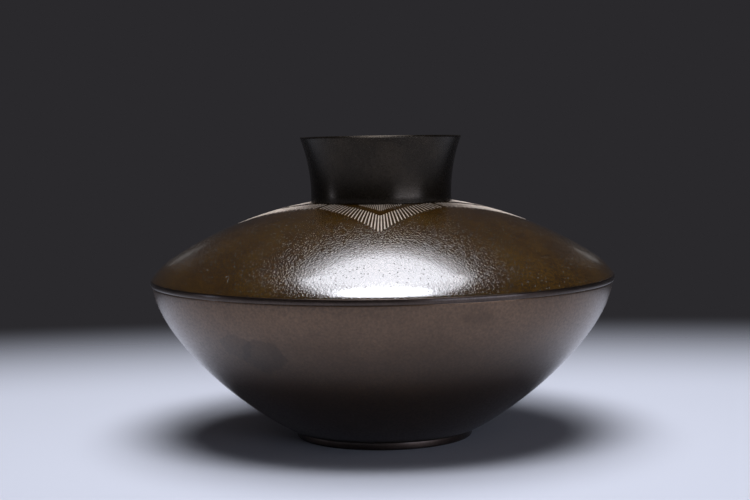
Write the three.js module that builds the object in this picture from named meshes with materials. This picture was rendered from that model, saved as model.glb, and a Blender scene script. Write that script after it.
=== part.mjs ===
// A low, lens-shaped bronze flower vase with a flared collar, standing free on a foot ring.
// Lengths are in millimetres and +Z is up. The origin is on the vase's axis, in the plane it stands on.
//
// Two turned shells, the bowl and the shoulder, close on a seam ring whose outer bead is the equator band.
// The collar drops into the shoulder's hole, and the foot ring is keyed into the bowl's underside.
// A stepped plate plugs the hole that the casting core left in the bottom. Braze rings hold the five joints.

import * as THREE from "three";

// Heights, stacked from the table up
const FOOT_HEIGHT = 5;
const BOWL_HEIGHT = 96.7;
const BAND_HEIGHT = 3.4;
const SHOULDER_RISE = 47.7;
const NECK_HEIGHT = 42.1;

// Radii of the outer form
const BAND_RADIUS = 150;
const BAND_OVER_SHOULDER = 0.4;
const BAND_OVER_BOWL = 1.2;
const NECK_RADIUS = 45.5;
const RIM_RADIUS = 52.4;
const FOOT_RADIUS = 57.3;
const BOWL_OVER_FOOT = 2.4;

// Curves of the outer form: handles of the bowl's curve, and arcs of the shoulder, collar and band
const BOWL_FOOT_SLOPE = THREE.MathUtils.degToRad(25.9);
const BOWL_FOOT_PULL = 37.1;
const BOWL_RIM_LEAN = THREE.MathUtils.degToRad(3.6);
const BOWL_RIM_PULL = 32.6;
const CROWN_RADIUS = 240;
const EDGE_ROUND = 45;
const EDGE_LEAN = THREE.MathUtils.degToRad(35);
const FLARE_HEIGHT = 37.6;
const BAND_BULGE = 0.4;
const FOOT_ROUND = 1.2;
const LIP_CHAMFER = 0.4;

// Walls
const BOWL_WALL = 3;
const SHOULDER_WALL = 3;
const NECK_WALL = 3;
const SKIRT_WALL = 2.2;
const FOOT_WIDTH = 5;

// Joints: JOINT_GAP is the room that every fit leaves for molten braze
const JOINT_GAP = 0.3;
const SPIGOT_STEP = 1.3;
const SPIGOT_DEPTH = 7;
const SKIRT_RISE = 3;
const SKIRT_DROP = 6;
const KEY_WIDTH = 2;
const KEY_HEIGHT = 1;
const CORE_RADIUS = 28;
const PLATE_LEDGE = 4;
const PLATE_REBATE = 1.5;
const BRAZE_LEG = 2.5;
const BRAZE_BEAD_HALF_WIDTH = 1.8;
const BRAZE_BEAD_HEIGHT = 0.8;

// Facets round the axis, and along each curve
const TURN_STEPS = 64;
const BOWL_STEPS = 9;
const CROWN_STEPS = 7;
const EDGE_STEPS = 3;
const FLARE_STEPS = 5;
const BAND_STEPS = 4;
const ROUND_STEPS = 3;

// Heights of the joints above the table
const bandUnderside = FOOT_HEIGHT + BOWL_HEIGHT;
const bandTop = bandUnderside + BAND_HEIGHT;
const neckRoot = bandTop + SHOULDER_RISE;
const rimTop = neckRoot + NECK_HEIGHT;
const floorTop = FOOT_HEIGHT + BOWL_WALL;
const skirtBottom = bandUnderside - SKIRT_DROP;
const skirtTop = bandTop + SKIRT_RISE;

const quarterTurn = Math.PI / 2;
const point = (radius, height) => new THREE.Vector2(radius, height);

// Points along a curve, each moved to its left by a wall: every outline runs up its outer side.
function wallPoints(curve, steps, wall = 0) {
  return Array.from({ length: steps + 1 }, (_, step) => {
    const along = step / steps;
    const at = curve.getPoint(along);
    const tangent = curve.getTangent(along);
    return point(at.x - wall * tangent.y, at.y + wall * tangent.x);
  });
}

// An arc from one angle to another, both measured from the outward level direction.
function arc(centre, radius, from, to) {
  return new THREE.EllipseCurve(centre.x, centre.y, radius, radius, from, to, to < from);
}

// Radius of a rising profile at a height.
function radiusAt(profile, height) {
  const next = profile.findIndex((at) => at.y >= height);
  const [low, high] = [profile[next - 1], profile[next]];
  return THREE.MathUtils.mapLinear(height, low.y, high.y, low.x, high.x);
}

// Height of a narrowing profile at a radius.
function heightAt(profile, radius) {
  const next = profile.findIndex((at) => at.x <= radius);
  const [wide, narrow] = [profile[next - 1], profile[next]];
  return THREE.MathUtils.mapLinear(radius, wide.x, narrow.x, wide.y, narrow.y);
}

// The bowl's outline: one curve from its edge over the foot ring to its rim under the band.
function bowlCurve() {
  const foot = point(FOOT_RADIUS + BOWL_OVER_FOOT, FOOT_HEIGHT);
  const rim = point(BAND_RADIUS - BAND_OVER_BOWL, bandUnderside);
  const footHandle = point(Math.cos(BOWL_FOOT_SLOPE), Math.sin(BOWL_FOOT_SLOPE)).multiplyScalar(BOWL_FOOT_PULL);
  const rimHandle = point(Math.sin(BOWL_RIM_LEAN), Math.cos(BOWL_RIM_LEAN)).multiplyScalar(BOWL_RIM_PULL);
  return new THREE.CubicBezierCurve(foot, footHandle.add(foot), rimHandle.negate().add(rim), rim);
}

// The shoulder's outline: a tighter arc up from its edge on the band, then the crown arc up to the root.
// The crown arc passes through the collar's root and meets the edge's arc without a kink.
function shoulderCurves() {
  const root = point(NECK_RADIUS, neckRoot);
  const edge = point(BAND_RADIUS - BAND_OVER_SHOULDER, bandTop);
  const edgeReach = point(Math.cos(EDGE_LEAN), Math.sin(EDGE_LEAN)).multiplyScalar(EDGE_ROUND);
  const edgeCentre = edge.sub(edgeReach);
  const span = edgeCentre.clone().sub(root);
  const inner = CROWN_RADIUS - EDGE_ROUND;
  const along = (CROWN_RADIUS ** 2 - inner ** 2 + span.lengthSq()) / (2 * span.length());
  const aside = Math.sqrt(CROWN_RADIUS ** 2 - along ** 2);
  const way = span.clone().normalize();
  const crownCentre = root.clone().addScaledVector(way, along).add(point(way.y, -way.x).multiplyScalar(aside));
  const meeting = edgeCentre.clone().sub(crownCentre).angle();
  return {
    edge: arc(edgeCentre, EDGE_ROUND, EDGE_LEAN, meeting),
    crown: arc(crownCentre, CROWN_RADIUS, meeting, root.sub(crownCentre).angle()),
  };
}

// Points of the shoulder's outer face, or of its inner face when a wall is given, from its edge to the root.
function shoulderPoints(wall) {
  const { edge, crown } = shoulderCurves();
  return [...wallPoints(edge, EDGE_STEPS, wall), ...wallPoints(crown, CROWN_STEPS, wall).slice(1)];
}

const bowlWall = wallPoints(bowlCurve(), BOWL_STEPS, BOWL_WALL);
const shoulderWall = shoulderPoints(SHOULDER_WALL);

// The seam ring's skirt fits a straight land, as wide as both walls leave it, turned inside both shells.
const landRadius = Math.min(radiusAt(bowlWall, skirtBottom), radiusAt(shoulderWall, skirtTop));
const skirtOuter = landRadius - JOINT_GAP;
const skirtInner = skirtOuter - SKIRT_WALL;

// The collar's spigot, and the hole that it drops through
const neckBore = NECK_RADIUS - NECK_WALL;
const spigotRadius = NECK_RADIUS - SPIGOT_STEP;
const neckHole = spigotRadius + JOINT_GAP;

// The foot ring's inner face and the key on its top, and the plate's rebate
const footInner = FOOT_RADIUS - FOOT_WIDTH;
const keyInner = FOOT_RADIUS - (FOOT_WIDTH + KEY_WIDTH) / 2;
const keyOuter = keyInner + KEY_WIDTH;
const rebateRadius = CORE_RADIUS + PLATE_LEDGE;
const rebateTop = FOOT_HEIGHT + PLATE_REBATE;

// Collar: a straight spigot, a step that rests on the shoulder, a straight root and one flaring arc.
function neckProfile() {
  const flareStart = rimTop - FLARE_HEIGHT;
  const flareOut = RIM_RADIUS - NECK_RADIUS;
  const flareRadius = (FLARE_HEIGHT ** 2 + flareOut ** 2) / (2 * flareOut);
  const centre = point(NECK_RADIUS + flareRadius, flareStart);
  const flareEnd = Math.PI - Math.asin(FLARE_HEIGHT / flareRadius);
  const flare = wallPoints(arc(centre, flareRadius, Math.PI, flareEnd), FLARE_STEPS).slice(0, -1);
  const bore = flare.map((at) => point(at.x - NECK_WALL, at.y)).reverse();
  return [
    point(neckBore, neckRoot - SPIGOT_DEPTH),
    point(spigotRadius, neckRoot - SPIGOT_DEPTH),
    point(spigotRadius, neckRoot),
    point(NECK_RADIUS, neckRoot),
    ...flare,
    point(RIM_RADIUS, rimTop - LIP_CHAMFER),
    point(RIM_RADIUS - LIP_CHAMFER, rimTop),
    point(RIM_RADIUS - NECK_WALL + LIP_CHAMFER, rimTop),
    point(RIM_RADIUS - NECK_WALL, rimTop - LIP_CHAMFER),
    ...bore,
  ];
}

// Shoulder: a domed shell with a flat seat round its hole and a straight land inside its edge.
function shoulderProfile() {
  const inside = shoulderWall.filter((at) => at.y > skirtTop).reverse();
  return [
    ...shoulderPoints(0),
    point(neckHole, neckRoot),
    point(neckHole, inside[0].y),
    ...inside,
    point(landRadius, skirtTop),
    point(landRadius, bandTop),
  ];
}

// Seam ring: a low bead between the two shells, with a skirt reaching up and down inside them.
function bandProfile() {
  const centre = point(BAND_RADIUS - BAND_BULGE, (bandUnderside + bandTop) / 2);
  const bulge = new THREE.EllipseCurve(
    centre.x, centre.y, BAND_BULGE, BAND_HEIGHT / 2, -quarterTurn, quarterTurn,
  );
  return [
    point(skirtInner, skirtBottom),
    point(skirtOuter, skirtBottom),
    point(skirtOuter, bandUnderside),
    ...wallPoints(bulge, BAND_STEPS),
    point(skirtOuter, bandTop),
    point(skirtOuter, skirtTop),
    point(skirtInner, skirtTop),
  ];
}

// Bowl: its underside has the plate's rebate and the foot's key groove, its rim a straight land inside.
function bowlProfile() {
  const grooveTop = FOOT_HEIGHT + KEY_HEIGHT + JOINT_GAP;
  const inside = bowlWall
    .filter((at) => at.y < skirtBottom)
    .map((at) => point(at.x, Math.max(at.y, floorTop)))
    .reverse();
  return [
    point(rebateRadius, FOOT_HEIGHT),
    point(keyInner - JOINT_GAP, FOOT_HEIGHT),
    point(keyInner - JOINT_GAP, grooveTop),
    point(keyOuter + JOINT_GAP, grooveTop),
    point(keyOuter + JOINT_GAP, FOOT_HEIGHT),
    ...wallPoints(bowlCurve(), BOWL_STEPS),
    point(landRadius, bandUnderside),
    point(landRadius, skirtBottom),
    ...inside,
    point(CORE_RADIUS, floorTop),
    point(CORE_RADIUS, rebateTop),
    point(rebateRadius, rebateTop),
  ];
}

// Foot ring: a plain ring with a rounded lower edge and a key standing on its top.
function footProfile() {
  const round = arc(point(FOOT_RADIUS - FOOT_ROUND, FOOT_ROUND), FOOT_ROUND, -quarterTurn, 0);
  return [
    point(footInner, 0),
    ...wallPoints(round, ROUND_STEPS),
    point(FOOT_RADIUS, FOOT_HEIGHT),
    point(keyOuter, FOOT_HEIGHT),
    point(keyOuter, FOOT_HEIGHT + KEY_HEIGHT),
    point(keyInner, FOOT_HEIGHT + KEY_HEIGHT),
    point(keyInner, FOOT_HEIGHT),
    point(footInner, FOOT_HEIGHT),
  ];
}

// Base plate: a stepped disc, flush with the bowl's underside and with its floor.
function plateProfile() {
  return [
    point(0, FOOT_HEIGHT),
    point(rebateRadius - JOINT_GAP, FOOT_HEIGHT),
    point(rebateRadius - JOINT_GAP, rebateTop),
    point(CORE_RADIUS - JOINT_GAP, rebateTop),
    point(CORE_RADIUS - JOINT_GAP, floorTop),
    point(0, floorTop),
  ];
}

// Braze fillet round the spigot, under the shoulder.
function neckBrazeProfile() {
  const inner = spigotRadius + JOINT_GAP;
  const top = heightAt(shoulderWall, inner + BRAZE_LEG + JOINT_GAP) - JOINT_GAP;
  return [point(inner, top - BRAZE_LEG), point(inner + BRAZE_LEG, top), point(inner, top)];
}

// Braze fillet on the skirt's upper end, under the shoulder's slope.
function upperSeamBrazeProfile() {
  const inner = skirtInner - BRAZE_LEG;
  return [
    point(skirtInner, skirtTop),
    point(skirtOuter - JOINT_GAP, skirtTop),
    point(inner, heightAt(shoulderWall, inner) - JOINT_GAP),
  ];
}

// Braze fillet under the skirt's lower end, against the bowl's wall.
function lowerSeamBrazeProfile() {
  const bottom = skirtBottom - BRAZE_LEG;
  return [
    point(Math.min(radiusAt(bowlWall, bottom), landRadius) - JOINT_GAP, bottom),
    point(skirtOuter - JOINT_GAP, skirtBottom),
    point(skirtInner, skirtBottom),
  ];
}

// Braze fillet in the corner between the foot ring's inner face and the bowl's underside.
function footBrazeProfile() {
  const outer = footInner - JOINT_GAP;
  return [
    point(outer, FOOT_HEIGHT - BRAZE_LEG),
    point(outer, FOOT_HEIGHT),
    point(outer - BRAZE_LEG, FOOT_HEIGHT),
  ];
}

// Low braze bead over the seam between the plate and the bowl's underside.
function baseBrazeProfile() {
  const bead = new THREE.EllipseCurve(
    rebateRadius, FOOT_HEIGHT, BRAZE_BEAD_HALF_WIDTH, BRAZE_BEAD_HEIGHT, Math.PI, 2 * Math.PI,
  );
  return wallPoints(bead, BAND_STEPS);
}

// A solid of revolution about the vertical axis. A profile clear of the axis closes on its first point.
function turned(profile) {
  const onAxis = profile[0].x === 0;
  const outline = onAxis ? profile : [...profile, profile[0]];
  return new THREE.LatheGeometry(outline, TURN_STEPS).rotateX(quarterTurn);
}

const patina = { metalness: 0.9, roughness: 0.45 };
const filler = { metalness: 0.9, roughness: 0.55, color: 0x8a6b3f };

const pieces = {
  bowl: [bowlProfile, { ...patina, color: 0x4d423d }],
  shoulder: [shoulderProfile, { ...patina, color: 0x4f3a22, roughness: 0.4 }],
  equator_band: [bandProfile, { ...patina, color: 0x332a27, roughness: 0.35 }],
  neck: [neckProfile, { ...patina, color: 0x2a2521 }],
  foot_ring: [footProfile, { ...patina, color: 0x33271f }],
  base_plate: [plateProfile, { ...patina, color: 0x3d332c, roughness: 0.5 }],
  neck_braze: [neckBrazeProfile, filler],
  upper_seam_braze: [upperSeamBrazeProfile, filler],
  lower_seam_braze: [lowerSeamBrazeProfile, filler],
  foot_braze: [footBrazeProfile, filler],
  base_braze: [baseBrazeProfile, filler],
};

const vase = new THREE.Group();
for (const [name, [profile, finish]] of Object.entries(pieces)) {
  const mesh = new THREE.Mesh(turned(profile()), new THREE.MeshStandardMaterial(finish));
  mesh.name = name;
  vase.add(mesh);
}

export default vase;
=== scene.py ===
"""Looks of a low, lens-shaped bronze flower vase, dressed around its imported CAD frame.

Two turned shells, the bowl and the shoulder, close on a seam ring whose bead is the equator band. A flared
collar stands in the shoulder's hole, a foot ring carries the bowl, and a stepped plate plugs the bottom.
Sizes are written in millimetres and modelled in metres. +Z is up, and the vase's front looks towards -Y.
"""

import logging
import math
from collections.abc import Iterable, Iterator
from dataclasses import dataclass, replace
from enum import Enum

import bpy
from mathutils import Matrix, Vector


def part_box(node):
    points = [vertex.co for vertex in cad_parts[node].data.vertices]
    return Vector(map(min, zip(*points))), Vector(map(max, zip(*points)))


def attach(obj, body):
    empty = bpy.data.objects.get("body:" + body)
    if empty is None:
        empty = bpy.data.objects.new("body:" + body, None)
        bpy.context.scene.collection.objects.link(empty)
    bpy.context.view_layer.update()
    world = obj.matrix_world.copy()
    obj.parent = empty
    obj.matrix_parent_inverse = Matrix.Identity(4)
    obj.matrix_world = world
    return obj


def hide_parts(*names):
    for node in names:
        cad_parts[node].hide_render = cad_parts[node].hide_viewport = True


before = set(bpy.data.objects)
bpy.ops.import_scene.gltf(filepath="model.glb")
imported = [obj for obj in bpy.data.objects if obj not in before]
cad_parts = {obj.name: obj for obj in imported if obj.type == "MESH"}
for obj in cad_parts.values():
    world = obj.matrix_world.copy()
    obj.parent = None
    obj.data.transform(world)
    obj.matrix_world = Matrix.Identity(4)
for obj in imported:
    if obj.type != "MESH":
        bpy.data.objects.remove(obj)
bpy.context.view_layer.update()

MM = 0.001
TURN_STEPS = 256
EDGE_SEGMENTS = 3
MERGE_DISTANCE = 1e-6
SMOOTH_ANGLE = math.radians(40)
SHARP_ANGLE = math.radians(34)
QUARTER = math.pi / 2
BRAZE_BREAK = 0.2

SRGB_TOE, SRGB_SLOPE, SRGB_OFFSET, SRGB_GAMMA = 0.04045, 12.92, 0.055, 2.4
MIX_FACTOR, MIX_LOW, MIX_HIGH, MIX_RESULT = 0, 6, 7, 2
COLOUR_MIX = {"output": MIX_RESULT, "data_type": "RGBA"}
SOFT_STEP = {"interpolation_type": "SMOOTHSTEP"}

Station = tuple[float, float]
Place = tuple[float, float, float]
Piece = bpy.types.Object
Tree = bpy.types.NodeTree
Socket = bpy.types.NodeSocket
log = logging.getLogger("bronze_vase")


# Outlines: lists of (radius, height) stations in millimetres, run up the outer side of a piece


def arc(centre: Station, size: Station, start: float, end: float, steps: int) -> list[Station]:
    """Stations along an elliptical arc.

    Args:
        centre: radius and height of the arc's centre.
        size: half-width and half-height of the ellipse.
        start: first angle from the outward level direction, in radians.
        end: last angle, in radians.
        steps: number of straight steps.

    Returns:
        The stations, both ends included.
    """
    angles = [start + (end - start) * step / steps for step in range(steps + 1)]
    return [(centre[0] + size[0] * math.cos(a), centre[1] + size[1] * math.sin(a)) for a in angles]


def bezier(points: list[Station], steps: int) -> list[Station]:
    """Stations along a cubic curve.

    Args:
        points: start, its handle, the end's handle and the end.
        steps: number of straight steps.

    Returns:
        The stations, both ends included.
    """
    stations = []
    for step in range(steps + 1):
        t = step / steps
        weights = ((1 - t) ** 3, 3 * t * (1 - t) ** 2, 3 * t * t * (1 - t), t ** 3)
        stations.append(tuple(sum(w * p[axis] for w, p in zip(weights, points)) for axis in (0, 1)))
    return stations


def inner_wall(outline: list[Station], wall: float) -> list[Station]:
    """Offset an outline to its inner side.

    Args:
        outline: stations running up the outer side.
        wall: wall thickness.

    Returns:
        As many stations, each one wall thickness in from its own.
    """
    moved = []
    for index, (radius, height) in enumerate(outline):
        before = outline[max(index - 1, 0)]
        after = outline[min(index + 1, len(outline) - 1)]
        along = Vector((after[0] - before[0], after[1] - before[1])).normalized()
        moved.append((radius - wall * along.y, height + wall * along.x))
    return moved


def crossing(outline: list[Station], value: float, axis: int) -> float:
    """Where an outline crosses a level or a radius.

    Args:
        outline: stations whose coordinate on the axis runs one way.
        value: the level or radius to meet.
        axis: 1 to meet a height and get the radius, 0 to meet a radius and get the height.

    Returns:
        The other coordinate at the crossing.
    """
    for low, high in zip(outline, outline[1:]):
        if min(low[axis], high[axis]) <= value <= max(low[axis], high[axis]):
            share = (value - low[axis]) / (high[axis] - low[axis])
            return low[1 - axis] + share * (high[1 - axis] - low[1 - axis])
    return outline[-1][1 - axis]


@dataclass(frozen=True)
class VaseForm:
    """Heights and radii of the whole form, in millimetres, as the CAD nodes' boxes give them.

    The rest of the sizes are the part's own named values.
    """

    foot_top: float
    bowl_top: float
    band_top: float
    neck_root: float
    rim_top: float
    band_radius: float
    bowl_radius: float
    rim_radius: float
    foot_radius: float
    neck_radius: float = 45.5
    bowl_over_foot: float = 2.4
    bowl_foot_slope: float = math.radians(25.9)
    bowl_foot_pull: float = 37.1
    bowl_rim_lean: float = math.radians(3.6)
    bowl_rim_pull: float = 32.6
    bowl_steps: int = 60
    band_over_shoulder: float = 0.4
    crown_radius: float = 240.0
    edge_round: float = 45.0
    edge_lean: float = math.radians(35)
    edge_steps: int = 10
    crown_steps: int = 56
    wall: float = 3.0
    skirt_wall: float = 2.2
    skirt_rise: float = 3.0
    skirt_drop: float = 6.0
    joint_gap: float = 0.3
    braze_leg: float = 2.5
    key_inner: float = 53.8
    key_outer: float = 55.8
    key_height: float = 1.0

    @classmethod
    def measured(cls) -> "VaseForm":
        """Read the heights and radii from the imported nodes.

        Returns:
            The whole form.
        """
        boxes = {node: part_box(node) for node in ("bowl", "shoulder", "equator_band", "neck", "foot_ring")}
        top = {node: high.z / MM for node, (_, high) in boxes.items()}
        bottom = {node: low.z / MM for node, (low, _) in boxes.items()}
        reach = {node: high.x / MM for node, (_, high) in boxes.items()}
        return cls(
            foot_top=bottom["bowl"], bowl_top=top["bowl"], band_top=bottom["shoulder"],
            neck_root=top["shoulder"], rim_top=top["neck"], band_radius=reach["equator_band"],
            bowl_radius=reach["bowl"], rim_radius=reach["neck"], foot_radius=reach["foot_ring"],
        )

    @property
    def skirt_bottom(self) -> float:
        """Height of the skirt's lower end."""
        return self.bowl_top - self.skirt_drop

    @property
    def skirt_top(self) -> float:
        """Height of the skirt's upper end."""
        return self.band_top + self.skirt_rise

    @property
    def land_radius(self) -> float:
        """Radius of the straight land that is turned inside both shells for the skirt."""
        return min(
            crossing(self.bowl_wall, self.skirt_bottom, 1),
            crossing(self.shoulder_wall, self.skirt_top, 1),
        )

    @property
    def skirt_outer(self) -> float:
        """Outer radius of the skirt."""
        return self.land_radius - self.joint_gap

    @property
    def skirt_inner(self) -> float:
        """Inner radius of the skirt."""
        return self.skirt_outer - self.skirt_wall

    @property
    def bowl_outline(self) -> list[Station]:
        """Outline of the bowl, from its edge over the foot ring to its rim under the band."""
        foot = (self.foot_radius + self.bowl_over_foot, self.foot_top)
        rim = (self.bowl_radius, self.bowl_top)
        slope, lean = self.bowl_foot_slope, self.bowl_rim_lean
        foot_handle = (
            foot[0] + self.bowl_foot_pull * math.cos(slope),
            foot[1] + self.bowl_foot_pull * math.sin(slope),
        )
        rim_handle = (
            rim[0] - self.bowl_rim_pull * math.sin(lean),
            rim[1] - self.bowl_rim_pull * math.cos(lean),
        )
        return bezier([foot, foot_handle, rim_handle, rim], self.bowl_steps)

    @property
    def crown_centre(self) -> Station:
        """Centre of the crown arc, which passes through the collar's root and meets the edge's arc."""
        root = Vector((self.neck_radius, self.neck_root))
        span = Vector(self.edge_centre) - root
        inner = self.crown_radius - self.edge_round
        along = (self.crown_radius ** 2 - inner ** 2 + span.length_squared) / (2 * span.length)
        aside = math.sqrt(self.crown_radius ** 2 - along ** 2)
        way = span.normalized()
        centre = root + along * way + aside * Vector((way.y, -way.x))
        return centre.x, centre.y

    @property
    def edge_centre(self) -> Station:
        """Centre of the tighter arc that brings the shoulder down to the band."""
        return (
            self.band_radius - self.band_over_shoulder - self.edge_round * math.cos(self.edge_lean),
            self.band_top - self.edge_round * math.sin(self.edge_lean),
        )

    @property
    def shoulder_outline(self) -> list[Station]:
        """Outline of the shoulder, from its edge above the band to the collar's root."""
        edge, crown = self.edge_centre, self.crown_centre
        meeting = math.atan2(edge[1] - crown[1], edge[0] - crown[0])
        last = math.atan2(self.neck_root - crown[1], self.neck_radius - crown[0])
        rising = arc(edge, (self.edge_round,) * 2, self.edge_lean, meeting, self.edge_steps)
        return rising + arc(crown, (self.crown_radius,) * 2, meeting, last, self.crown_steps)[1:]

    @property
    def bowl_wall(self) -> list[Station]:
        """Inner face of the bowl, bottom to top."""
        return inner_wall(self.bowl_outline, self.wall)

    @property
    def shoulder_wall(self) -> list[Station]:
        """Inner face of the shoulder, bottom to top."""
        return inner_wall(self.shoulder_outline, self.wall)


# Modelling steps that several pieces share


def clear_selection() -> None:
    """Deselect everything, so that an operator acts on the next piece alone."""
    bpy.ops.object.select_all(action="DESELECT")


def modify(piece: Piece, kind: str, **settings: object) -> None:
    """Add a modifier to a piece and apply it.

    Args:
        piece: the mesh object.
        kind: type of the modifier.
        settings: values of the modifier, by name.
    """
    clear_selection()
    piece.select_set(True)
    bpy.context.view_layer.objects.active = piece
    modifier = piece.modifiers.new(kind.title(), kind)
    for name, value in settings.items():
        setattr(modifier, name, value)
    bpy.ops.object.modifier_apply(modifier=modifier.name)


def turn(name: str, outline: list[Station], rounding: float) -> Piece:
    """Turn a closed outline about the vase's axis, and break its sharp edges.

    Args:
        name: name of the piece.
        outline: stations round the section, without the first one repeated.
        rounding: how far each sharp edge is rounded, in millimetres.

    Returns:
        The turned piece, at the origin, with its place in its mesh.
    """
    clear_selection()
    radius, height = outline[0]
    bpy.ops.mesh.primitive_plane_add(size=MM, location=(radius * MM, 0, height * MM))
    piece = bpy.context.object
    piece.name = piece.data.name = name
    bpy.ops.object.transform_apply(location=True, rotation=True, scale=True)
    bpy.ops.object.mode_set(mode="EDIT")
    bpy.ops.mesh.select_mode(type="VERT")
    bpy.ops.mesh.merge(type="CENTER")
    on_axis = radius == 0
    ends = outline[1:] if on_axis else outline[1:] + outline[:1]
    for (old_radius, old_height), (radius, height) in zip(outline, ends):
        step = ((radius - old_radius) * MM, 0, (height - old_height) * MM)
        bpy.ops.mesh.extrude_vertices_move(TRANSFORM_OT_translate={"value": step})
    bpy.ops.mesh.select_all(action="SELECT")
    bpy.ops.mesh.spin(steps=TURN_STEPS, angle=2 * math.pi, center=(0, 0, 0), axis=(0, 0, 1))
    bpy.ops.mesh.select_all(action="SELECT")
    bpy.ops.mesh.remove_doubles(threshold=MERGE_DISTANCE)
    bpy.ops.mesh.normals_make_consistent(inside=False)
    bpy.ops.object.mode_set(mode="OBJECT")
    modify(
        piece, "BEVEL", width=rounding * MM, segments=EDGE_SEGMENTS, offset_type="OFFSET",
        limit_method="ANGLE", angle_limit=SHARP_ANGLE,
    )
    bpy.ops.object.shade_smooth_by_angle(angle=SMOOTH_ANGLE)
    return piece


# Finishes


def linear(colour: str) -> tuple[float, float, float, float]:
    """Turn an sRGB hex colour into the linear colour that a node takes.

    Args:
        colour: six hex digits.

    Returns:
        Red, green, blue and an alpha of one.
    """
    channels = []
    for start in (0, 2, 4):
        level = int(colour[start:start + 2], 16) / 255
        if level <= SRGB_TOE:
            channels.append(level / SRGB_SLOPE)
        else:
            channels.append(((level + SRGB_OFFSET) / (1 + SRGB_OFFSET)) ** SRGB_GAMMA)
    return (*channels, 1.0)


def per_metre(size: float) -> float:
    """Scale of a texture whose features are this many millimetres wide."""
    return 1 / (size * MM)


def empty_tree(owner: bpy.types.Material | bpy.types.World) -> Tree:
    """Give a material or a world a node tree without nodes.

    Args:
        owner: the material or the world.

    Returns:
        Its node tree.
    """
    owner.use_nodes = True
    owner.node_tree.nodes.clear()
    return owner.node_tree


def add_node(
    tree: Tree, kind: str, links: dict | None = None, output: int | str = 0, **settings: object,
) -> Socket | None:
    """Add a node with its settings, values and links.

    Args:
        tree: the node tree.
        kind: type of the shader node.
        links: what each input takes, by name or number: an output socket, or a value.
        output: the output that is handed back.
        settings: values of the node itself, by name.

    Returns:
        The chosen output, or None on a node that has none.
    """
    node = tree.nodes.new("ShaderNode" + kind)
    for name, value in settings.items():
        setattr(node, name, value)
    for socket, value in (links or {}).items():
        if isinstance(value, Socket):
            tree.links.new(value, node.inputs[socket])
        else:
            node.inputs[socket].default_value = value
    return node.outputs[output] if node.outputs else None


def distance_from(tree: Tree, place: Socket, centre: Place, scale: Place) -> Socket:
    """Distance from a centre, stretched along each axis.

    Args:
        tree: the node tree.
        place: object coordinates.
        centre: the centre, in metres.
        scale: how much the distance counts along each axis.

    Returns:
        The distance.
    """
    moved = add_node(tree, "VectorMath", {0: place, 1: centre}, operation="SUBTRACT")
    scaled = add_node(tree, "VectorMath", {0: moved, 1: scale}, operation="MULTIPLY")
    return add_node(tree, "VectorMath", {0: scaled}, output="Value", operation="LENGTH")


def raised(tree: Tree, patterns: Iterable[tuple[Socket, float]]) -> Socket:
    """Normal that follows several patterns, one over the other.

    Args:
        tree: the node tree.
        patterns: each pattern with its height in millimetres.

    Returns:
        The normal.
    """
    normal = {}
    for pattern, height in patterns:
        normal = {"Normal": add_node(tree, "Bump", {
            "Strength": 1.0, "Distance": height * MM, "Height": pattern, **normal,
        })}
    return normal["Normal"]


@dataclass(frozen=True)
class Groundwork:
    """What each pattern of a material builds on: its nodes, object coordinates and the grain's noise."""

    tree: Tree
    place: Socket
    grain: Socket


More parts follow.
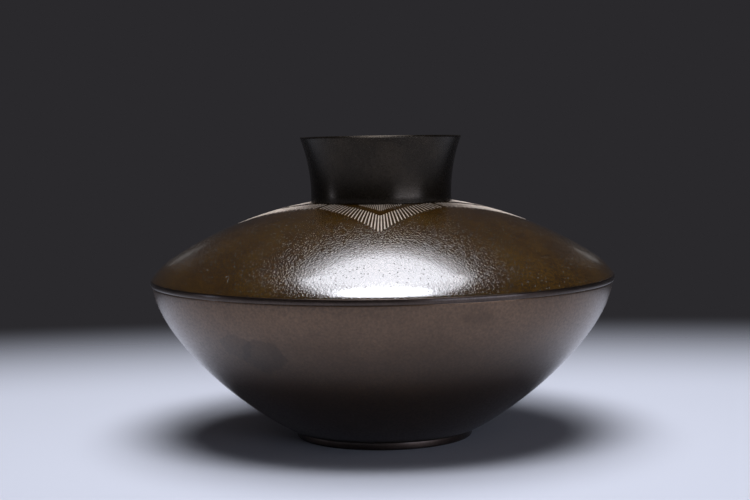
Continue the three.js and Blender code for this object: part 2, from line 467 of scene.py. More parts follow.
@dataclass(frozen=True)
class Finish:
    """A bronze surface: a clouded metal ground with a fine grain, under a thin coat of wax.

    A metal's base colour is the light that it throws straight back, so a dark patina has a dark one. It
    shows what stands round it, palest at its outline, and the wax adds a clear white gloss over it.
    """

    name: str
    ground: str
    light: str
    dark: str
    roughness: float
    grain: float
    grain_height: float
    grain_detail: float = 2.0
    grain_breakup: float = 0.6
    grain_span: tuple[float, float] = (0.3, 0.7)
    speckle: float = 0.22
    metal_share: float = 1.0
    cloud: float = 18.0
    cloud_detail: float = 5.0
    cloud_breakup: float = 0.62
    cloud_span: tuple[float, float] = (0.36, 0.64)
    cloud_share: float = 0.6
    roughness_spread: float = 0.06
    index: float = 1.5
    wax: float = 0.3
    wax_roughness: float = 0.25

    def material(self) -> bpy.types.Material:
        """Build the material once and hand it out again.

        Returns:
            The material named for this finish.
        """
        found = bpy.data.materials.get(self.name)
        if found:
            return found
        material = bpy.data.materials.new(self.name)
        tree = empty_tree(material)
        place = add_node(tree, "TexCoord", output="Object")
        grain = add_node(tree, "TexNoise", {
            "Vector": place, "Scale": per_metre(self.grain),
            "Detail": self.grain_detail, "Roughness": self.grain_breakup,
        })
        base = Groundwork(tree, place, grain)
        spread = self.roughness_spread
        shader = add_node(tree, "BsdfPrincipled", {
            "Base Color": self.colour(base),
            "Metallic": self.metal_share,
            "Roughness": self.along_grain(base, self.roughness + spread, self.roughness - spread),
            "IOR": self.index,
            "Coat Weight": self.wax,
            "Coat Roughness": self.wax_roughness,
            "Normal": self.relief(base),
            **self.wax_links(base),
        })
        add_node(tree, "OutputMaterial", {"Surface": shader})
        return material

    def along_grain(self, base: Groundwork, low: float, high: float) -> Socket:
        """Spread a value over the grain.

        Args:
            base: the material's groundwork.
            low: the value in the grain's hollows.
            high: the value on its tops.

        Returns:
            The value.
        """
        return add_node(base.tree, "MapRange", {
            "Value": base.grain, "From Min": self.grain_span[0], "From Max": self.grain_span[1],
            "To Min": low, "To Max": high,
        })

    def colour(self, base: Groundwork) -> Socket:
        """Cloud the ground between its dark and light shades, and speckle it with the grain.

        Args:
            base: the material's groundwork.

        Returns:
            The colour.
        """
        clouds = add_node(base.tree, "TexNoise", {
            "Vector": base.place, "Scale": per_metre(self.cloud),
            "Detail": self.cloud_detail, "Roughness": self.cloud_breakup,
        })
        spread = add_node(base.tree, "MapRange", {
            "Value": clouds, "From Min": self.cloud_span[0], "From Max": self.cloud_span[1],
        }, **SOFT_STEP)
        clouded = add_node(base.tree, "Mix", {
            MIX_FACTOR: spread, MIX_LOW: linear(self.dark), MIX_HIGH: linear(self.light),
        }, **COLOUR_MIX)
        ground = add_node(base.tree, "Mix", {
            MIX_FACTOR: self.cloud_share, MIX_LOW: linear(self.ground), MIX_HIGH: clouded,
        }, **COLOUR_MIX)
        speckle = self.along_grain(base, 1 - self.speckle, 1 + self.speckle)
        return add_node(base.tree, "VectorMath", {0: ground, 1: speckle}, operation="MULTIPLY")

    def relief(self, base: Groundwork) -> Socket:
        """Normal that follows the grain."""
        return raised(base.tree, ((base.grain, self.grain_height),))

    def wax_links(self, base: Groundwork) -> dict:
        """What else the wax coat takes, by its socket's name: nothing, because plain wax lies smooth."""
        return {}


@dataclass(frozen=True)
class StarOutline:
    """One pointed outline round the collar: its tips' radius in millimetres, and its sides' angle there."""

    tip: float
    half_angle: float

    def radius(self, turned: float) -> float:
        """Radius of a side at an angle from its tip, up to half the way to the next tip."""
        return self.tip * math.sin(self.half_angle) / math.sin(self.half_angle + turned)


@dataclass(frozen=True)
class StarPlan:
    """Plan of the hatched four-pointed star.

    Its outer band lies between two outlines, and its inner band between a smaller one and the collar.
    """

    turn: float = math.radians(-0.75)
    outer: StarOutline = StarOutline(95.0, math.radians(36.0))
    gap: StarOutline = StarOutline(70.5, math.radians(39.5))
    inner: StarOutline = StarOutline(61.0, math.radians(40.0))
    points: int = 4


@dataclass(frozen=True)
class CastSkin(Finish):
    """Golden-brown cast skin under a granular film, which scatters its lights into a halo of glitter."""

    ridge: float = 1.9
    ridge_detail: float = 3.0
    ridge_breakup: float = 0.6
    ridge_height: float = 0.04
    film_ridge_height: float = 0.14
    film_grain_height: float = 0.4
    film_index: float = 1.55
    scar: Place = (-32.0, -119.0, 127.0)
    scar_core: float = 15.5
    scar_reach: float = 62.0
    ridges_elsewhere: float = 0.12
    pit_cell: float = 2.1
    pit_radius: float = 0.45
    pit_floor_share: float = 0.4
    pit_depth: float = 0.2
    pit_share: float = 0.45
    pit_ground: str = "160E05"
    star: StarPlan = StarPlan()
    star_ground: str = "36270F"
    star_softness: float = 0.5

    def ridges(self, base: Groundwork) -> Socket:
        """Short, worm-like ridges, high where the mould scarred the front and low everywhere else.

        Args:
            base: the material's groundwork.

        Returns:
            Their height, from 0 to about 1.
        """
        ridges = add_node(base.tree, "TexNoise", {
            "Vector": base.place, "Scale": per_metre(self.ridge),
            "Detail": self.ridge_detail, "Roughness": self.ridge_breakup,
        }, noise_type="RIDGED_MULTIFRACTAL")
        centre = tuple(value * MM for value in self.scar)
        away = add_node(
            base.tree, "VectorMath", {0: base.place, 1: centre}, output="Value", operation="DISTANCE",
        )
        strength = add_node(base.tree, "MapRange", {
            "Value": away, "From Min": self.scar_core * MM, "From Max": self.scar_reach * MM,
            "To Min": 1.0, "To Max": self.ridges_elsewhere,
        }, **SOFT_STEP)
        return add_node(base.tree, "Math", {0: ridges, 1: strength}, operation="MULTIPLY")

    def pits(self, base: Groundwork) -> Socket:
        """Small round pits, one in some of the cells of a scattered pattern.

        Args:
            base: the material's groundwork.

        Returns:
            1 on the open surface, 0 in a pit.
        """
        tree = base.tree
        away = add_node(
            tree, "TexVoronoi", {"Vector": base.place, "Scale": per_metre(self.pit_cell)},
            output="Distance",
        )
        pick = add_node(tree, "SeparateXYZ", {"Vector": away.node.outputs["Color"]}, output="X")
        left_out = add_node(tree, "Math", {0: pick, 1: self.pit_share}, operation="GREATER_THAN")
        reach = add_node(tree, "Math", {0: away, 1: left_out}, operation="ADD")
        edge = self.pit_radius / self.pit_cell
        return add_node(tree, "MapRange", {
            "Value": reach, "From Min": edge * self.pit_floor_share, "From Max": edge,
        }, **SOFT_STEP)

    def relief(self, base: Groundwork) -> Socket:
        """Normal that follows the low ridges and sinks into the pits."""
        ridges = (self.ridges(base), self.ridge_height)
        return raised(base.tree, (ridges, (self.pits(base), self.pit_depth)))

    def wax_links(self, base: Groundwork) -> dict:
        """Index and normal of the granular film.

        Args:
            base: the material's groundwork.

        Returns:
            What the coat takes, by its socket's name.
        """
        normal = raised(base.tree, (
            (base.grain, self.film_grain_height),
            (self.ridges(base), self.film_ridge_height),
            (self.pits(base), self.pit_depth),
        ))
        return {"Coat IOR": self.film_index, "Coat Normal": normal}

    def star_bands(self, base: Groundwork) -> Socket:
        """Where the star's two bands lie.

        Args:
            base: the material's groundwork.

        Returns:
            1 in a band, 0 outside both.
        """
        tree = base.tree
        turned = add_node(
            tree, "VectorRotate", {"Vector": base.place, "Angle": self.star.turn},
            rotation_type="Z_AXIS",
        )
        folded = add_node(tree, "VectorMath", {0: turned}, operation="ABSOLUTE")
        split = add_node(tree, "SeparateXYZ", {"Vector": folded}, output="X")
        across = split.node.outputs["Y"]
        along = add_node(tree, "Math", {0: split, 1: across}, operation="MAXIMUM")
        aside = add_node(tree, "Math", {0: split, 1: across}, operation="MINIMUM")
        inside = []
        for outline in (self.star.outer, self.star.gap, self.star.inner):
            lean = add_node(
                tree, "Math", {0: aside, 1: 1 / math.tan(outline.half_angle), 2: along},
                operation="MULTIPLY_ADD",
            )
            inside.append(add_node(tree, "MapRange", {
                "Value": lean, "To Min": 1.0, "To Max": 0.0,
                "From Min": (outline.tip - self.star_softness) * MM,
                "From Max": (outline.tip + self.star_softness) * MM,
            }))
        outer, gap, inner = inside
        band = add_node(tree, "Math", {0: outer, 1: gap}, operation="SUBTRACT")
        return add_node(tree, "Math", {0: band, 1: inner}, operation="ADD", use_clamp=True)

    def colour(self, base: Groundwork) -> Socket:
        """Ground colour, darkened in the pits and where the star's bands lie between their strokes.

        Args:
            base: the material's groundwork.

        Returns:
            The colour.
        """
        ground = add_node(base.tree, "Mix", {
            MIX_FACTOR: self.pits(base), MIX_LOW: linear(self.pit_ground), MIX_HIGH: super().colour(base),
        }, **COLOUR_MIX)
        return add_node(base.tree, "Mix", {
            MIX_FACTOR: self.star_bands(base), MIX_LOW: ground, MIX_HIGH: linear(self.star_ground),
        }, **COLOUR_MIX)


@dataclass(frozen=True)
class DarkPatch:
    """A darker patch in a patina: where it is, its half-sizes and how dark it gets, with a wavy border."""

    centre: Place
    reach: Place
    depth: float
    softness: float = 0.14
    wave: float = 8.0
    wave_detail: float = 3.0
    wave_share: float = 1.0

    def share(self, base: Groundwork) -> Socket:
        """How much of the ground's light is left.

        Args:
            base: the material's groundwork.

        Returns:
            1 outside the patch, less inside.
        """
        centre = tuple(value * MM for value in self.centre)
        scale = tuple(per_metre(value) for value in self.reach)
        away = distance_from(base.tree, base.place, centre, scale)
        waves = add_node(base.tree, "TexNoise", {
            "Vector": base.place, "Scale": per_metre(self.wave), "Detail": self.wave_detail,
        })
        wavy = add_node(base.tree, "Math", {0: waves, 1: self.wave_share, 2: away}, operation="MULTIPLY_ADD")
        middle = 1 + self.wave_share / 2
        return add_node(base.tree, "MapRange", {
            "Value": wavy, "From Min": middle - self.softness, "From Max": middle,
            "To Min": 1 - self.depth, "To Max": 1.0,
        }, **SOFT_STEP)


@dataclass(frozen=True)
class PatchedPatina(Finish):
    """Patina with darker patches in it: a few old stains, and a darkening towards the bottom."""

    dark_patches: tuple[DarkPatch, ...] = ()

    def colour(self, base: Groundwork) -> Socket:
        """Ground colour, darkened by each patch.

        Args:
            base: the material's groundwork.

        Returns:
            The colour.
        """
        ground = super().colour(base)
        for stain in self.dark_patches:
            share = stain.share(base)
            ground = add_node(base.tree, "VectorMath", {0: ground, 1: share}, operation="MULTIPLY")
        return ground


class Bronzes(Enum):
    """Every finish on the vase."""

    # Cast in a sand-faced mould and turned to copper oxide: a brown skin of high index, which mirrors a lamp
    # as a crisp white shape, under a film whose grain, drawn coarse enough to show, sets glitter round it
    CAST_SKIN = CastSkin(
        "cast_bronze_golden_brown", ground="3A2503", light="432E06", dark="2F1D01", roughness=0.15,
        metal_share=0.0, index=2.14, grain=1.45, grain_height=0.0, grain_detail=1.0, speckle=0.5, cloud=26.0,
        wax=1.0, wax_roughness=0.16,
    )
    # Scraped smooth and stained grey-brown: satin, with a fine mottled grain and slow clouds
    BOWL_PATINA = PatchedPatina(
        "scraped_bronze_grey_brown", ground="5F4A38", light="685240", dark="554131", roughness=0.38,
        grain=1.5, grain_height=0.02, cloud=34.0, cloud_share=0.4, wax=0.7, wax_roughness=0.08,
        dark_patches=(
            # The first patch darkens the bowl towards its bottom, below a low, wavy level; the other three
            # are old stains
            DarkPatch((0.0, 0.0, 0.0), (4000.0, 4000.0, 99.0), 0.37, softness=0.38, wave=25.0, wave_share=0.12),
            DarkPatch((-69.0, -112.0, 69.0), (15.0, 26.0, 12.0), 0.32),
            DarkPatch((-86.0, -105.0, 74.0), (11.0, 20.0, 9.5), 0.28),
            DarkPatch((54.0, -136.0, 92.0), (13.5, 14.0, 4.2), 0.16, softness=0.5, wave=9.0, wave_share=0.5),
        ),
    )
    # Turned on the lathe and stained dark: a smooth face with a low, even sheen
    TURNED_DARK = Finish(
        "turned_bronze_dark", ground="453932", light="4D4038", dark="3C312B", roughness=0.40,
        grain=0.9, grain_height=0.004, wax=0.5, wax_roughness=0.2,
    )
    # Stoned to a satin and stained nearly black: it shows only soft, broad lights
    COLLAR_DARK = Finish(
        "stoned_bronze_near_black", ground="2A231A", light="30281E", dark="221C14", roughness=0.26,
        metal_share=0.8, grain=1.3, grain_height=0.003, speckle=0.12, wax=0.12, wax_roughness=0.22,
    )
    # Left as it came from the mould inside and below: dull and even
    AS_CAST = Finish(
        "as_cast_bronze_dull", ground="4A4038", light="574B40", dark="3A312B", roughness=0.58,
        grain=1.0, grain_height=0.08, wax=0.0,
    )
    # Filler melted into the joints and left bright: yellower than the bronze, with a rippled skin
    BRAZE = Finish(
        "melted_brass_filler", ground="8A6B3F", light="A07E4C", dark="66502F", roughness=0.45,
        grain=0.8, grain_height=0.05, cloud=4.0, wax=0.0,
    )
    # Raised strokes with the stain rubbed off their tops: pale and bright against the dark ground
    RUBBED_BRIGHT = Finish(
        "rubbed_bronze_bright", ground="C0B2A3", light="CEC2B4", dark="A08F7F", roughness=0.48,
        metal_share=0.4, grain=0.5, grain_height=0.02, cloud=3.0, wax=0.2,
    )


# Dressing


def seat(piece: Piece, finish: Bronzes, node: str | None = None) -> Piece:
    """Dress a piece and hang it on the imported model.

    Args:
        piece: the finished mesh object.
        finish: its outer finish.
        node: the CAD node that it stands for, if it stands for one.

    Returns:
        The piece.
    """
    piece.data.materials.clear()
    piece.data.materials.append(finish.value.material())
    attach(piece, "root")
    if node:
        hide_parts(node)
    return piece


def braze_ring(name: str, outline: list[Station], node: str, rounding: float = BRAZE_BREAK) -> Piece:
    """Turn and dress a ring of filler metal.

    Args:
        name: name of the piece.
        outline: stations round its section.
        node: the CAD node that it stands for.
        rounding: how far its edges are rounded, in millimetres.

    Returns:
        The ring.
    """
    return seat(turn(name, outline, rounding), Bronzes.BRAZE, node)


def leave_as_cast(
    piece: Piece, inward: float, upward: float, downward: float, below: float = math.inf,
) -> None:
    """Give the faces that were left as they came from the mould a finish of their own.

    Args:
        piece: a dressed piece.
        inward: faces that look away from the vase's axis less than this were left as cast.
        upward: so were those that look up more than this.
        downward: so were those that look up less than this, where they lie below a height.
        below: that height, in metres.
    """
    piece.data.materials.append(Bronzes.AS_CAST.value.material())
    for polygon in piece.data.polygons:
        centre, normal = polygon.center, polygon.normal
        outward = Vector((centre.x, centre.y, 0)).normalized().dot(normal)
        underneath = normal.z < downward and centre.z < below
        if outward < inward or normal.z > upward or underneath:
            polygon.material_index = 1


# Sub-assemblies


@dataclass
class Bowl:
    """The lower shell and the plate that plugs its core hole, with the braze bead over the plate's seam."""

    form: VaseForm
    core_radius: float = 28.0
    plate_ledge: float = 4.0
    plate_rebate: float = 1.5
    bead_half_width: float = 1.8
    bead_height: float = 0.8
    bead_steps: int = 10
    bead_break: float = 0.05
    edge_break: float = 0.35
    cast_inward: float = -0.1
    cast_upward: float = 0.5
    cast_downward: float = -0.95
    cast_depth: float = 1.4

    @property
    def outline(self) -> list[Station]:
        """Section of the bowl: key groove below, straight land inside its rim, rebate for the plate."""
        form = self.form
        groove_inner = form.key_inner - form.joint_gap
        groove_outer = form.key_outer + form.joint_gap
        groove_top = form.foot_top + form.key_height + form.joint_gap
        floor = form.foot_top + form.wall
        wall = [station for station in form.bowl_wall if station[1] < form.skirt_bottom]
        ledge = self.core_radius + self.plate_ledge
        return [
            (ledge, form.foot_top),
            (groove_inner, form.foot_top),
            (groove_inner, groove_top),
            (groove_outer, groove_top),
            (groove_outer, form.foot_top),
            *form.bowl_outline,
            (form.land_radius, form.bowl_top),
            (form.land_radius, form.skirt_bottom),
            *((radius, max(height, floor)) for radius, height in reversed(wall)),
            (self.core_radius, floor),
            (self.core_radius, form.foot_top + self.plate_rebate),
            (ledge, form.foot_top + self.plate_rebate),
        ]

    @property
    def plate_outline(self) -> list[Station]:
        """Section of the stepped plate, from the axis out and back."""
        bottom = self.form.foot_top
        step = bottom + self.plate_rebate
        top = bottom + self.form.wall
        narrow = self.core_radius - self.form.joint_gap
        wide = narrow + self.plate_ledge
        return [(0, bottom), (wide, bottom), (wide, step), (narrow, step), (narrow, top), (0, top)]

    def build(self) -> list[Piece]:
        """Turn and dress the bowl, its plate and the bead.

        Returns:
            The pieces.
        """
        bowl = turn("bowl_shell", self.outline, self.edge_break)
        seat(bowl, Bronzes.BOWL_PATINA, "bowl")
        below = (self.form.foot_top + self.cast_depth) * MM
        leave_as_cast(bowl, self.cast_inward, self.cast_upward, self.cast_downward, below)
        plate = turn("plug_plate", self.plate_outline, self.edge_break)
        seat(plate, Bronzes.AS_CAST, "base_plate")
        seam = (self.core_radius + self.plate_ledge, self.form.foot_top)
        section = arc(seam, (self.bead_half_width, self.bead_height), math.pi, 2 * math.pi, self.bead_steps)
        return [bowl, plate, braze_ring("plug_braze_bead", section, "base_braze", self.bead_break)]


@dataclass
class SeamRing:
    """The seam ring between the two shells, with the braze fillets on both ends of its skirt."""

    form: VaseForm
    bulge: float = 0.4
    bulge_steps: int = 12
    edge_break: float = 0.2

    @property
    def outline(self) -> list[Station]:
        """Section of the ring: a low bead outside, a skirt up and down inside."""
        form = self.form
        centre = (form.band_radius - self.bulge, (form.bowl_top + form.band_top) / 2)
        half_height = (form.band_top - form.bowl_top) / 2
        return [
            (form.skirt_inner, form.skirt_bottom),
            (form.skirt_outer, form.skirt_bottom),
            (form.skirt_outer, form.bowl_top),
            *arc(centre, (self.bulge, half_height), -QUARTER, QUARTER, self.bulge_steps),
            (form.skirt_outer, form.band_top),
            (form.skirt_outer, form.skirt_top),
            (form.skirt_inner, form.skirt_top),
        ]

    @property
    def upper_braze(self) -> list[Station]:
        """Section of the fillet on the skirt's upper end."""
        form = self.form
        inner = form.skirt_inner - form.braze_leg
        return [
            (form.skirt_inner, form.skirt_top),
            (form.skirt_outer - form.joint_gap, form.skirt_top),
            (inner, crossing(form.shoulder_wall, inner, 0) - form.joint_gap),
        ]

    @property
    def lower_braze(self) -> list[Station]:
        """Section of the fillet under the skirt's lower end."""
        form = self.form
        bottom = form.skirt_bottom - form.braze_leg
        return [
            (min(crossing(form.bowl_wall, bottom, 1), form.land_radius) - form.joint_gap, bottom),
            (form.skirt_outer - form.joint_gap, form.skirt_bottom),
            (form.skirt_inner, form.skirt_bottom),
        ]

    def build(self) -> list[Piece]:
        """Turn and dress the ring and its two fillets.

        Returns:
            The pieces.
        """
        ring = turn("seam_ring", self.outline, self.edge_break)
        seat(ring, Bronzes.TURNED_DARK, "equator_band")
        upper = braze_ring("seam_braze_upper", self.upper_braze, "upper_seam_braze")
        lower = braze_ring("seam_braze_lower", self.lower_braze, "lower_seam_braze")
        return [ring, upper, lower]


@dataclass(frozen=True)
class Stroke:
    """One raised stroke: its inner and outer radii, its angle, and its share of the full width."""

    inner: float
    outer: float
    angle: float
    share: float


@dataclass
class Shoulder:
    """The domed upper shell, and the raised strokes that hatch a star round its collar."""

    form: VaseForm
    star: StarPlan = StarPlan()
    hole_radius: float = 44.5
    edge_break: float = 0.4
    cast_inward: float = -0.05
    cast_downward: float = -0.3
    collar_gap: float = 0.3
    stroke_width: float = 0.78
    stroke_step: float = 3.5
    inner_share: float = 0.55
    stroke_thinning: float = 0.7
    stroke_height: float = 0.12
    stroke_root: float = 0.1
    stroke_length: float = 12.0
    stroke_clip: float = 0.3
    stroke_cuts: int = 5
    stroke_bevel: float = 0.06
    stroke_edge: float = math.radians(60)
    drop_height: float = 10.0

    @property
    def outline(self) -> list[Station]:
        """Section of the shoulder: a flat seat round its hole, a straight land inside its edge."""
        form = self.form
        wall = [station for station in form.shoulder_wall if station[1] > form.skirt_top]
        return [
            *form.shoulder_outline,
            (self.hole_radius, form.neck_root),
            (self.hole_radius, wall[-1][1]),
            *reversed(wall),
            (form.land_radius, form.skirt_top),
            (form.land_radius, form.band_top),
        ]

    def half_band(self, outline: StarOutline, within: StarOutline | None, share: float) -> Iterator[Stroke]:
        """Plan the strokes of one band from a tip to halfway to the next, thinner as they leave the tip.

        Args:
            outline: the band's outer outline.
            within: its inner outline, or None where it runs in to the collar.
            share: width and step of its strokes, as a share of the full ones.

        Yields:
            The strokes, with their angles from the tip.
        """
        reach = math.pi / self.star.points
        clear = self.form.neck_radius + self.collar_gap
        along = share * self.stroke_step / 2
        while True:
            across = along * math.sin(outline.half_angle)
            ahead = outline.tip - along * math.cos(outline.half_angle)
            angle = math.atan2(across, ahead)
            outer = math.hypot(across, ahead)
            inner = max(clear, within.radius(angle)) if within else clear
            if angle > reach or outer - inner < self.stroke_width:
                return
            yield Stroke(inner, outer, angle, share * (1 - self.stroke_thinning * angle / reach))
            along += share * self.stroke_step

    def stroke_plan(self) -> list[Stroke]:
        """Repeat both bands on each side of every tip.

        Returns:
            Every stroke, with its angle round the vase.
        """
        star = self.star
        bands = (
            list(self.half_band(star.outer, star.gap, 1.0)),
            list(self.half_band(star.inner, None, self.inner_share)),
        )
        tips = [star.turn + corner * 2 * math.pi / star.points for corner in range(star.points)]
        return [
            replace(stroke, angle=tip + side * stroke.angle)
            for band in bands for tip in tips for side in (-1, 1) for stroke in band
        ]

    def first_stroke(self) -> Piece:
        """Model one flat stroke along +Y: a ladder of faces with clipped corners.

        Returns:
            The stroke, from the origin to its full length.
        """
        clear_selection()
        bpy.ops.mesh.primitive_plane_add(size=MM, location=(0, 0, 0))
        stroke = bpy.context.object
        bpy.ops.object.mode_set(mode="EDIT")
        bpy.ops.transform.resize(value=(self.stroke_width, self.stroke_length, 1))
        bpy.ops.transform.translate(value=(0, self.stroke_length * MM / 2, 0))
        bpy.ops.mesh.bevel(affect="VERTICES", offset=self.stroke_width * MM * self.stroke_clip, segments=1)
        bpy.ops.mesh.select_mode(type="EDGE")
        bpy.ops.mesh.select_all(action="DESELECT")
        bpy.ops.object.mode_set(mode="OBJECT")
        mesh = stroke.data
        for edge in mesh.edges:
            low, high = (mesh.vertices[index].co for index in edge.vertices)
            edge.select = abs(low.y - high.y) > self.stroke_length * MM / 2
        bpy.ops.object.mode_set(mode="EDIT")
        bpy.ops.mesh.subdivide(number_cuts=self.stroke_cuts)
        bpy.ops.object.mode_set(mode="OBJECT")
        return stroke

    def strokes(self, dome: Piece) -> Piece:
        """Copy the stroke along both bands of the star, lay the copies on the dome and give them height.

        Args:
            dome: the finished shoulder.

        Returns:
            All strokes as one piece.
        """
        first = self.first_stroke()
        above = (self.form.neck_root + self.drop_height) * MM
        copies = []
        for stroke in self.stroke_plan():
            copy = bpy.data.objects.new("stroke", first.data.copy())
            bpy.context.scene.collection.objects.link(copy)
            turned = Matrix.Rotation(stroke.angle + math.pi, 4, "Z")
            moved = Matrix.Translation((0, stroke.inner * MM, above))
            length = (stroke.outer - stroke.inner) / self.stroke_length
            copy.matrix_world = turned @ moved @ Matrix.Diagonal((stroke.share, length, 1, 1))
            copies.append(copy)
        bpy.context.view_layer.update()
        bpy.data.objects.remove(first)
        clear_selection()
        for copy in copies:
            copy.select_set(True)
        strokes = bpy.context.view_layer.objects.active = copies[0]
        bpy.ops.object.join()
        bpy.ops.object.transform_apply(location=True, rotation=True, scale=True)
        strokes.name = strokes.data.name = "star_strokes"
        modify(
            strokes, "SHRINKWRAP", target=dome, wrap_method="PROJECT", use_project_z=True,
            use_negative_direction=True, use_positive_direction=False,
        )
        thickness = self.stroke_height + self.stroke_root
        sunk = 2 * self.stroke_height / thickness - 1
        modify(strokes, "SOLIDIFY", thickness=thickness * MM, offset=sunk)
        modify(
            strokes, "BEVEL", width=self.stroke_bevel * MM, segments=1,
            limit_method="ANGLE", angle_limit=self.stroke_edge,
        )
        bpy.ops.object.shade_smooth_by_angle(angle=SMOOTH_ANGLE)
        return strokes

    def build(self) -> list[Piece]:
        """Turn and dress the shoulder, then hatch its star.

        Returns:
            The pieces.
        """
        dome = turn("shoulder_dome", self.outline, self.edge_break)
        strokes = self.strokes(dome)
        seat(dome, Bronzes.CAST_SKIN, "shoulder")
        leave_as_cast(dome, self.cast_inward, math.inf, self.cast_downward)
        seat(strokes, Bronzes.RUBBED_BRIGHT)
        return [dome, strokes]


@dataclass
class Collar:
    """The flared collar with its spigot, and the braze fillet round it under the shoulder."""

    form: VaseForm
    flare_height: float = 37.6
    flare_steps: int = 30
    wall: float = 3.0
    spigot_step: float = 1.3
    spigot_depth: float = 7.0
    lip_round: float = 0.55

    @property
    def outline(self) -> list[Station]:
        """Section of the collar: spigot, step, straight root, one flaring arc and the lip."""
        form = self.form
        out = form.rim_radius - form.neck_radius
        sweep = (self.flare_height ** 2 + out ** 2) / (2 * out)
        centre = (form.neck_radius + sweep, form.rim_top - self.flare_height)
        end = math.pi - math.asin(self.flare_height / sweep)
        flare = arc(centre, (sweep, sweep), math.pi, end, self.flare_steps)
        spigot = form.neck_radius - self.spigot_step
        foot = form.neck_root - self.spigot_depth
        return [
            (form.neck_radius - self.wall, foot),
            (spigot, foot),
            (spigot, form.neck_root),
            (form.neck_radius, form.neck_root),
            *flare,
            *((radius - self.wall, height) for radius, height in reversed(flare)),
        ]

    @property
    def braze_outline(self) -> list[Station]:
        """Section of the fillet round the spigot."""
        form = self.form
        inner = form.neck_radius - self.spigot_step + form.joint_gap
        reach = inner + form.braze_leg
        top = crossing(form.shoulder_wall, reach + form.joint_gap, 0) - form.joint_gap
        return [(inner, top - form.braze_leg), (reach, top), (inner, top)]

    def build(self) -> list[Piece]:
        """Turn and dress the collar and its fillet.

        Returns:
            The pieces.
        """
        collar = turn("flared_collar", self.outline, self.lip_round)
        seat(collar, Bronzes.COLLAR_DARK, "neck")
        return [collar, braze_ring("collar_braze", self.braze_outline, "neck_braze")]


@dataclass
class Foot:
    """The foot ring, keyed into the bowl's underside, and the braze fillet inside it."""

    form: VaseForm
    width: float = 5.0
    lower_round: float = 1.2
    round_steps: int = 6
    edge_break: float = 0.25

    @property
    def outline(self) -> list[Station]:
        """Section of the ring: a rounded lower edge, a key on its top."""
        form = self.form
        inner = form.foot_radius - self.width
        centre = (form.foot_radius - self.lower_round, self.lower_round)
        key_top = form.foot_top + form.key_height
        return [
            (inner, 0),
            *arc(centre, (self.lower_round,) * 2, -QUARTER, 0, self.round_steps),
            (form.foot_radius, form.foot_top),
            (form.key_outer, form.foot_top),
            (form.key_outer, key_top),
            (form.key_inner, key_top),
            (form.key_inner, form.foot_top),
            (inner, form.foot_top),
        ]

    @property
    def braze_outline(self) -> list[Station]:
        """Section of the fillet in the corner under the bowl."""
        top, leg = self.form.foot_top, self.form.braze_leg
        outer = self.form.foot_radius - self.width - self.form.joint_gap
        return [(outer, top - leg), (outer, top), (outer - leg, top)]

    def build(self) -> list[Piece]:
        """Turn and dress the ring and its fillet.

        Returns:
            The pieces.
        """
        ring = turn("foot_stand_ring", self.outline, self.edge_break)
        seat(ring, Bronzes.TURNED_DARK, "foot_ring")
        return [ring, braze_ring("foot_braze_fillet", self.braze_outline, "foot_braze")]


# Studio


class LampShape(Enum):
    """Outline of a lamp's face, with its area as a share of the rectangle round it."""

    RECTANGLE = 1.0
    ELLIPSE = math.pi / 4


@dataclass(frozen=True)
class Softbox:
    """A flat lamp: its outline, where it stands, where it looks, its sides and how bright its face is."""

    name: str
    shape: LampShape
    place: Place
    aim: Place
    width: float
    length: float
    brightness: float
    colour: str = "FFFFFF"

    def hang(self) -> None:
        """Add the lamp; its power gives its face the brightness, where one is white on a screen."""
        lamp = bpy.data.lights.new(self.name, "AREA")
        lamp.shape = self.shape.name
        lamp.size = self.width
        lamp.size_y = self.length
        lamp.energy = self.brightness * math.pi * self.width * self.length * self.shape.value
        lamp.color = linear(self.colour)[:3]
        holder = bpy.data.objects.new(self.name, lamp)
        bpy.context.scene.collection.objects.link(holder)
        holder.location = self.place
        holder.rotation_euler = (Vector(self.aim) - Vector(self.place)).to_track_quat("-Z", "Y").to_euler()


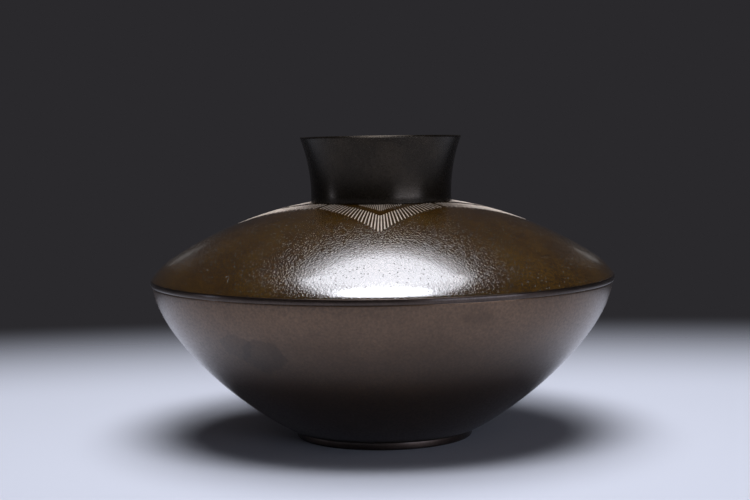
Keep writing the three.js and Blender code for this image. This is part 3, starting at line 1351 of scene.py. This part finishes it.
@dataclass
class Studio:
    """A plain pale floor, soft lamps and the camera at the photograph's angle."""

    camera_place: Place = (0.0, -1.050, 0.2056)
    lens: float = 77.53
    pitch: float = math.radians(4.613)
    roll: float = math.radians(0.885)
    pan: float = math.radians(0.250)
    floor_radius: float = 1.5
    floor_sides: int = 96
    floor_pale: str = "D2D5DE"
    floor_roughness: float = 0.8
    fade_centre: Place = (0.0, -0.2, 0.0)
    fade_shape: Place = (0.6, 1.0, 1.0)
    fade_start: float = 0.37
    fade_end: float = 0.83
    surround: str = "2A292C"

    softboxes: tuple[Softbox, ...] = (
        Softbox("overhead_softbox", LampShape.ELLIPSE,
                (0.02, 0.02, 1.44), (0.02, 0.56, 0.16), 1.11, 1.66, 3.75, "F4F6FF"),
        Softbox("rear_softbox", LampShape.ELLIPSE,
                (0.02, 0.45, 1.66), (0.02, 0.99, 0.38), 1.20, 1.40, 1.0, "F4F6FF"),
        Softbox("key_softbox", LampShape.ELLIPSE,
                (0.01, -0.42, 1.20), (0.01, 0.0, 0.12), 0.64, 0.34, 11.5, "F4F6FF"),
        Softbox("right_window", LampShape.RECTANGLE,
                (1.22, -1.02, 0.95), (0.0, 0.0, 0.13), 0.9, 0.35, 0.8, "E8EEFF"),
        Softbox("low_strip_right", LampShape.RECTANGLE,
                (1.11, -1.15, 0.19), (0.0, 0.0, 0.17), 1.25, 0.30, 4.6, "DDE6FF"),
        Softbox("low_strip_left", LampShape.RECTANGLE,
                (-1.55, -0.10, 0.17), (0.0, 0.0, 0.17), 0.14, 0.26, 5.0, "DDE6FF"),
        Softbox("rear_glow_left", LampShape.RECTANGLE,
                (-0.95, 2.8, 0.68), (0.0, 0.0, 0.12), 0.16, 0.30, 0.25),
        Softbox("rear_glow_right", LampShape.RECTANGLE,
                (1.05, 2.8, 0.68), (0.0, 0.0, 0.12), 0.16, 0.30, 0.35),
    )

    def floor_material(self) -> bpy.types.Material:
        """Paint that fades out to nothing in an oval round the vase.

        Returns:
            The material.
        """
        material = bpy.data.materials.new("matt_painted_board_pale")
        tree = empty_tree(material)
        place = add_node(tree, "TexCoord", output="Object")
        away = distance_from(tree, place, self.fade_centre, self.fade_shape)
        fade = add_node(tree, "MapRange", {
            "Value": away, "From Min": self.fade_start, "From Max": self.fade_end,
        }, **SOFT_STEP)
        board = add_node(tree, "BsdfPrincipled", {
            "Base Color": linear(self.floor_pale), "Roughness": self.floor_roughness,
        })
        clear = add_node(tree, "BsdfTransparent")
        shader = add_node(tree, "MixShader", {0: fade, 1: board, 2: clear})
        add_node(tree, "OutputMaterial", {"Surface": shader})
        return material

    def floor(self) -> None:
        """Lay the floor: pale round the vase, fading out into the surround."""
        clear_selection()
        bpy.ops.mesh.primitive_circle_add(
            vertices=self.floor_sides, radius=self.floor_radius, fill_type="NGON",
        )
        floor = bpy.context.object
        floor.name = floor.data.name = "floor"
        floor.data.materials.append(self.floor_material())

    def world(self) -> None:
        """Surround the scene with an even, dim grey."""
        world = bpy.data.worlds.new("studio_surround")
        bpy.context.scene.world = world
        tree = empty_tree(world)
        surround = add_node(tree, "Background", {"Color": linear(self.surround), "Strength": 1.0})
        add_node(tree, "OutputWorld", {"Surface": surround})

    def camera(self) -> None:
        """Stand the camera where the photograph was taken from."""
        view = bpy.data.cameras.new("view")
        view.lens = self.lens
        holder = bpy.data.objects.new("view", view)
        bpy.context.scene.collection.objects.link(holder)
        level = Matrix.Rotation(QUARTER - self.pitch, 4, "X")
        holder.matrix_world = (
            Matrix.Translation(self.camera_place) @ Matrix.Rotation(self.pan, 4, "Z") @ level
            @ Matrix.Rotation(-self.roll, 4, "Z")
        )
        bpy.context.scene.camera = holder

    def build(self) -> None:
        """Set up the floor, the surround, the lamps and the camera."""
        self.floor()
        self.world()
        for softbox in self.softboxes:
            softbox.hang()
        self.camera()
        bpy.context.scene.view_settings.view_transform = "Standard"


def report(pieces: Iterable[Piece]) -> None:
    """Log each piece with its number of faces."""
    for piece in pieces:
        log.info("%s: %d faces", piece.name, len(piece.data.polygons))


def main() -> None:
    """Build the studio and the vase's sub-assemblies."""
    logging.basicConfig(level=logging.INFO, format="%(name)s: %(message)s")
    Studio().build()
    form = VaseForm.measured()
    for assembly in (Bowl(form), SeamRing(form), Shoulder(form), Collar(form), Foot(form)):
        report(assembly.build())
    bpy.context.view_layer.update()


if __name__ == "__main__":
    main()
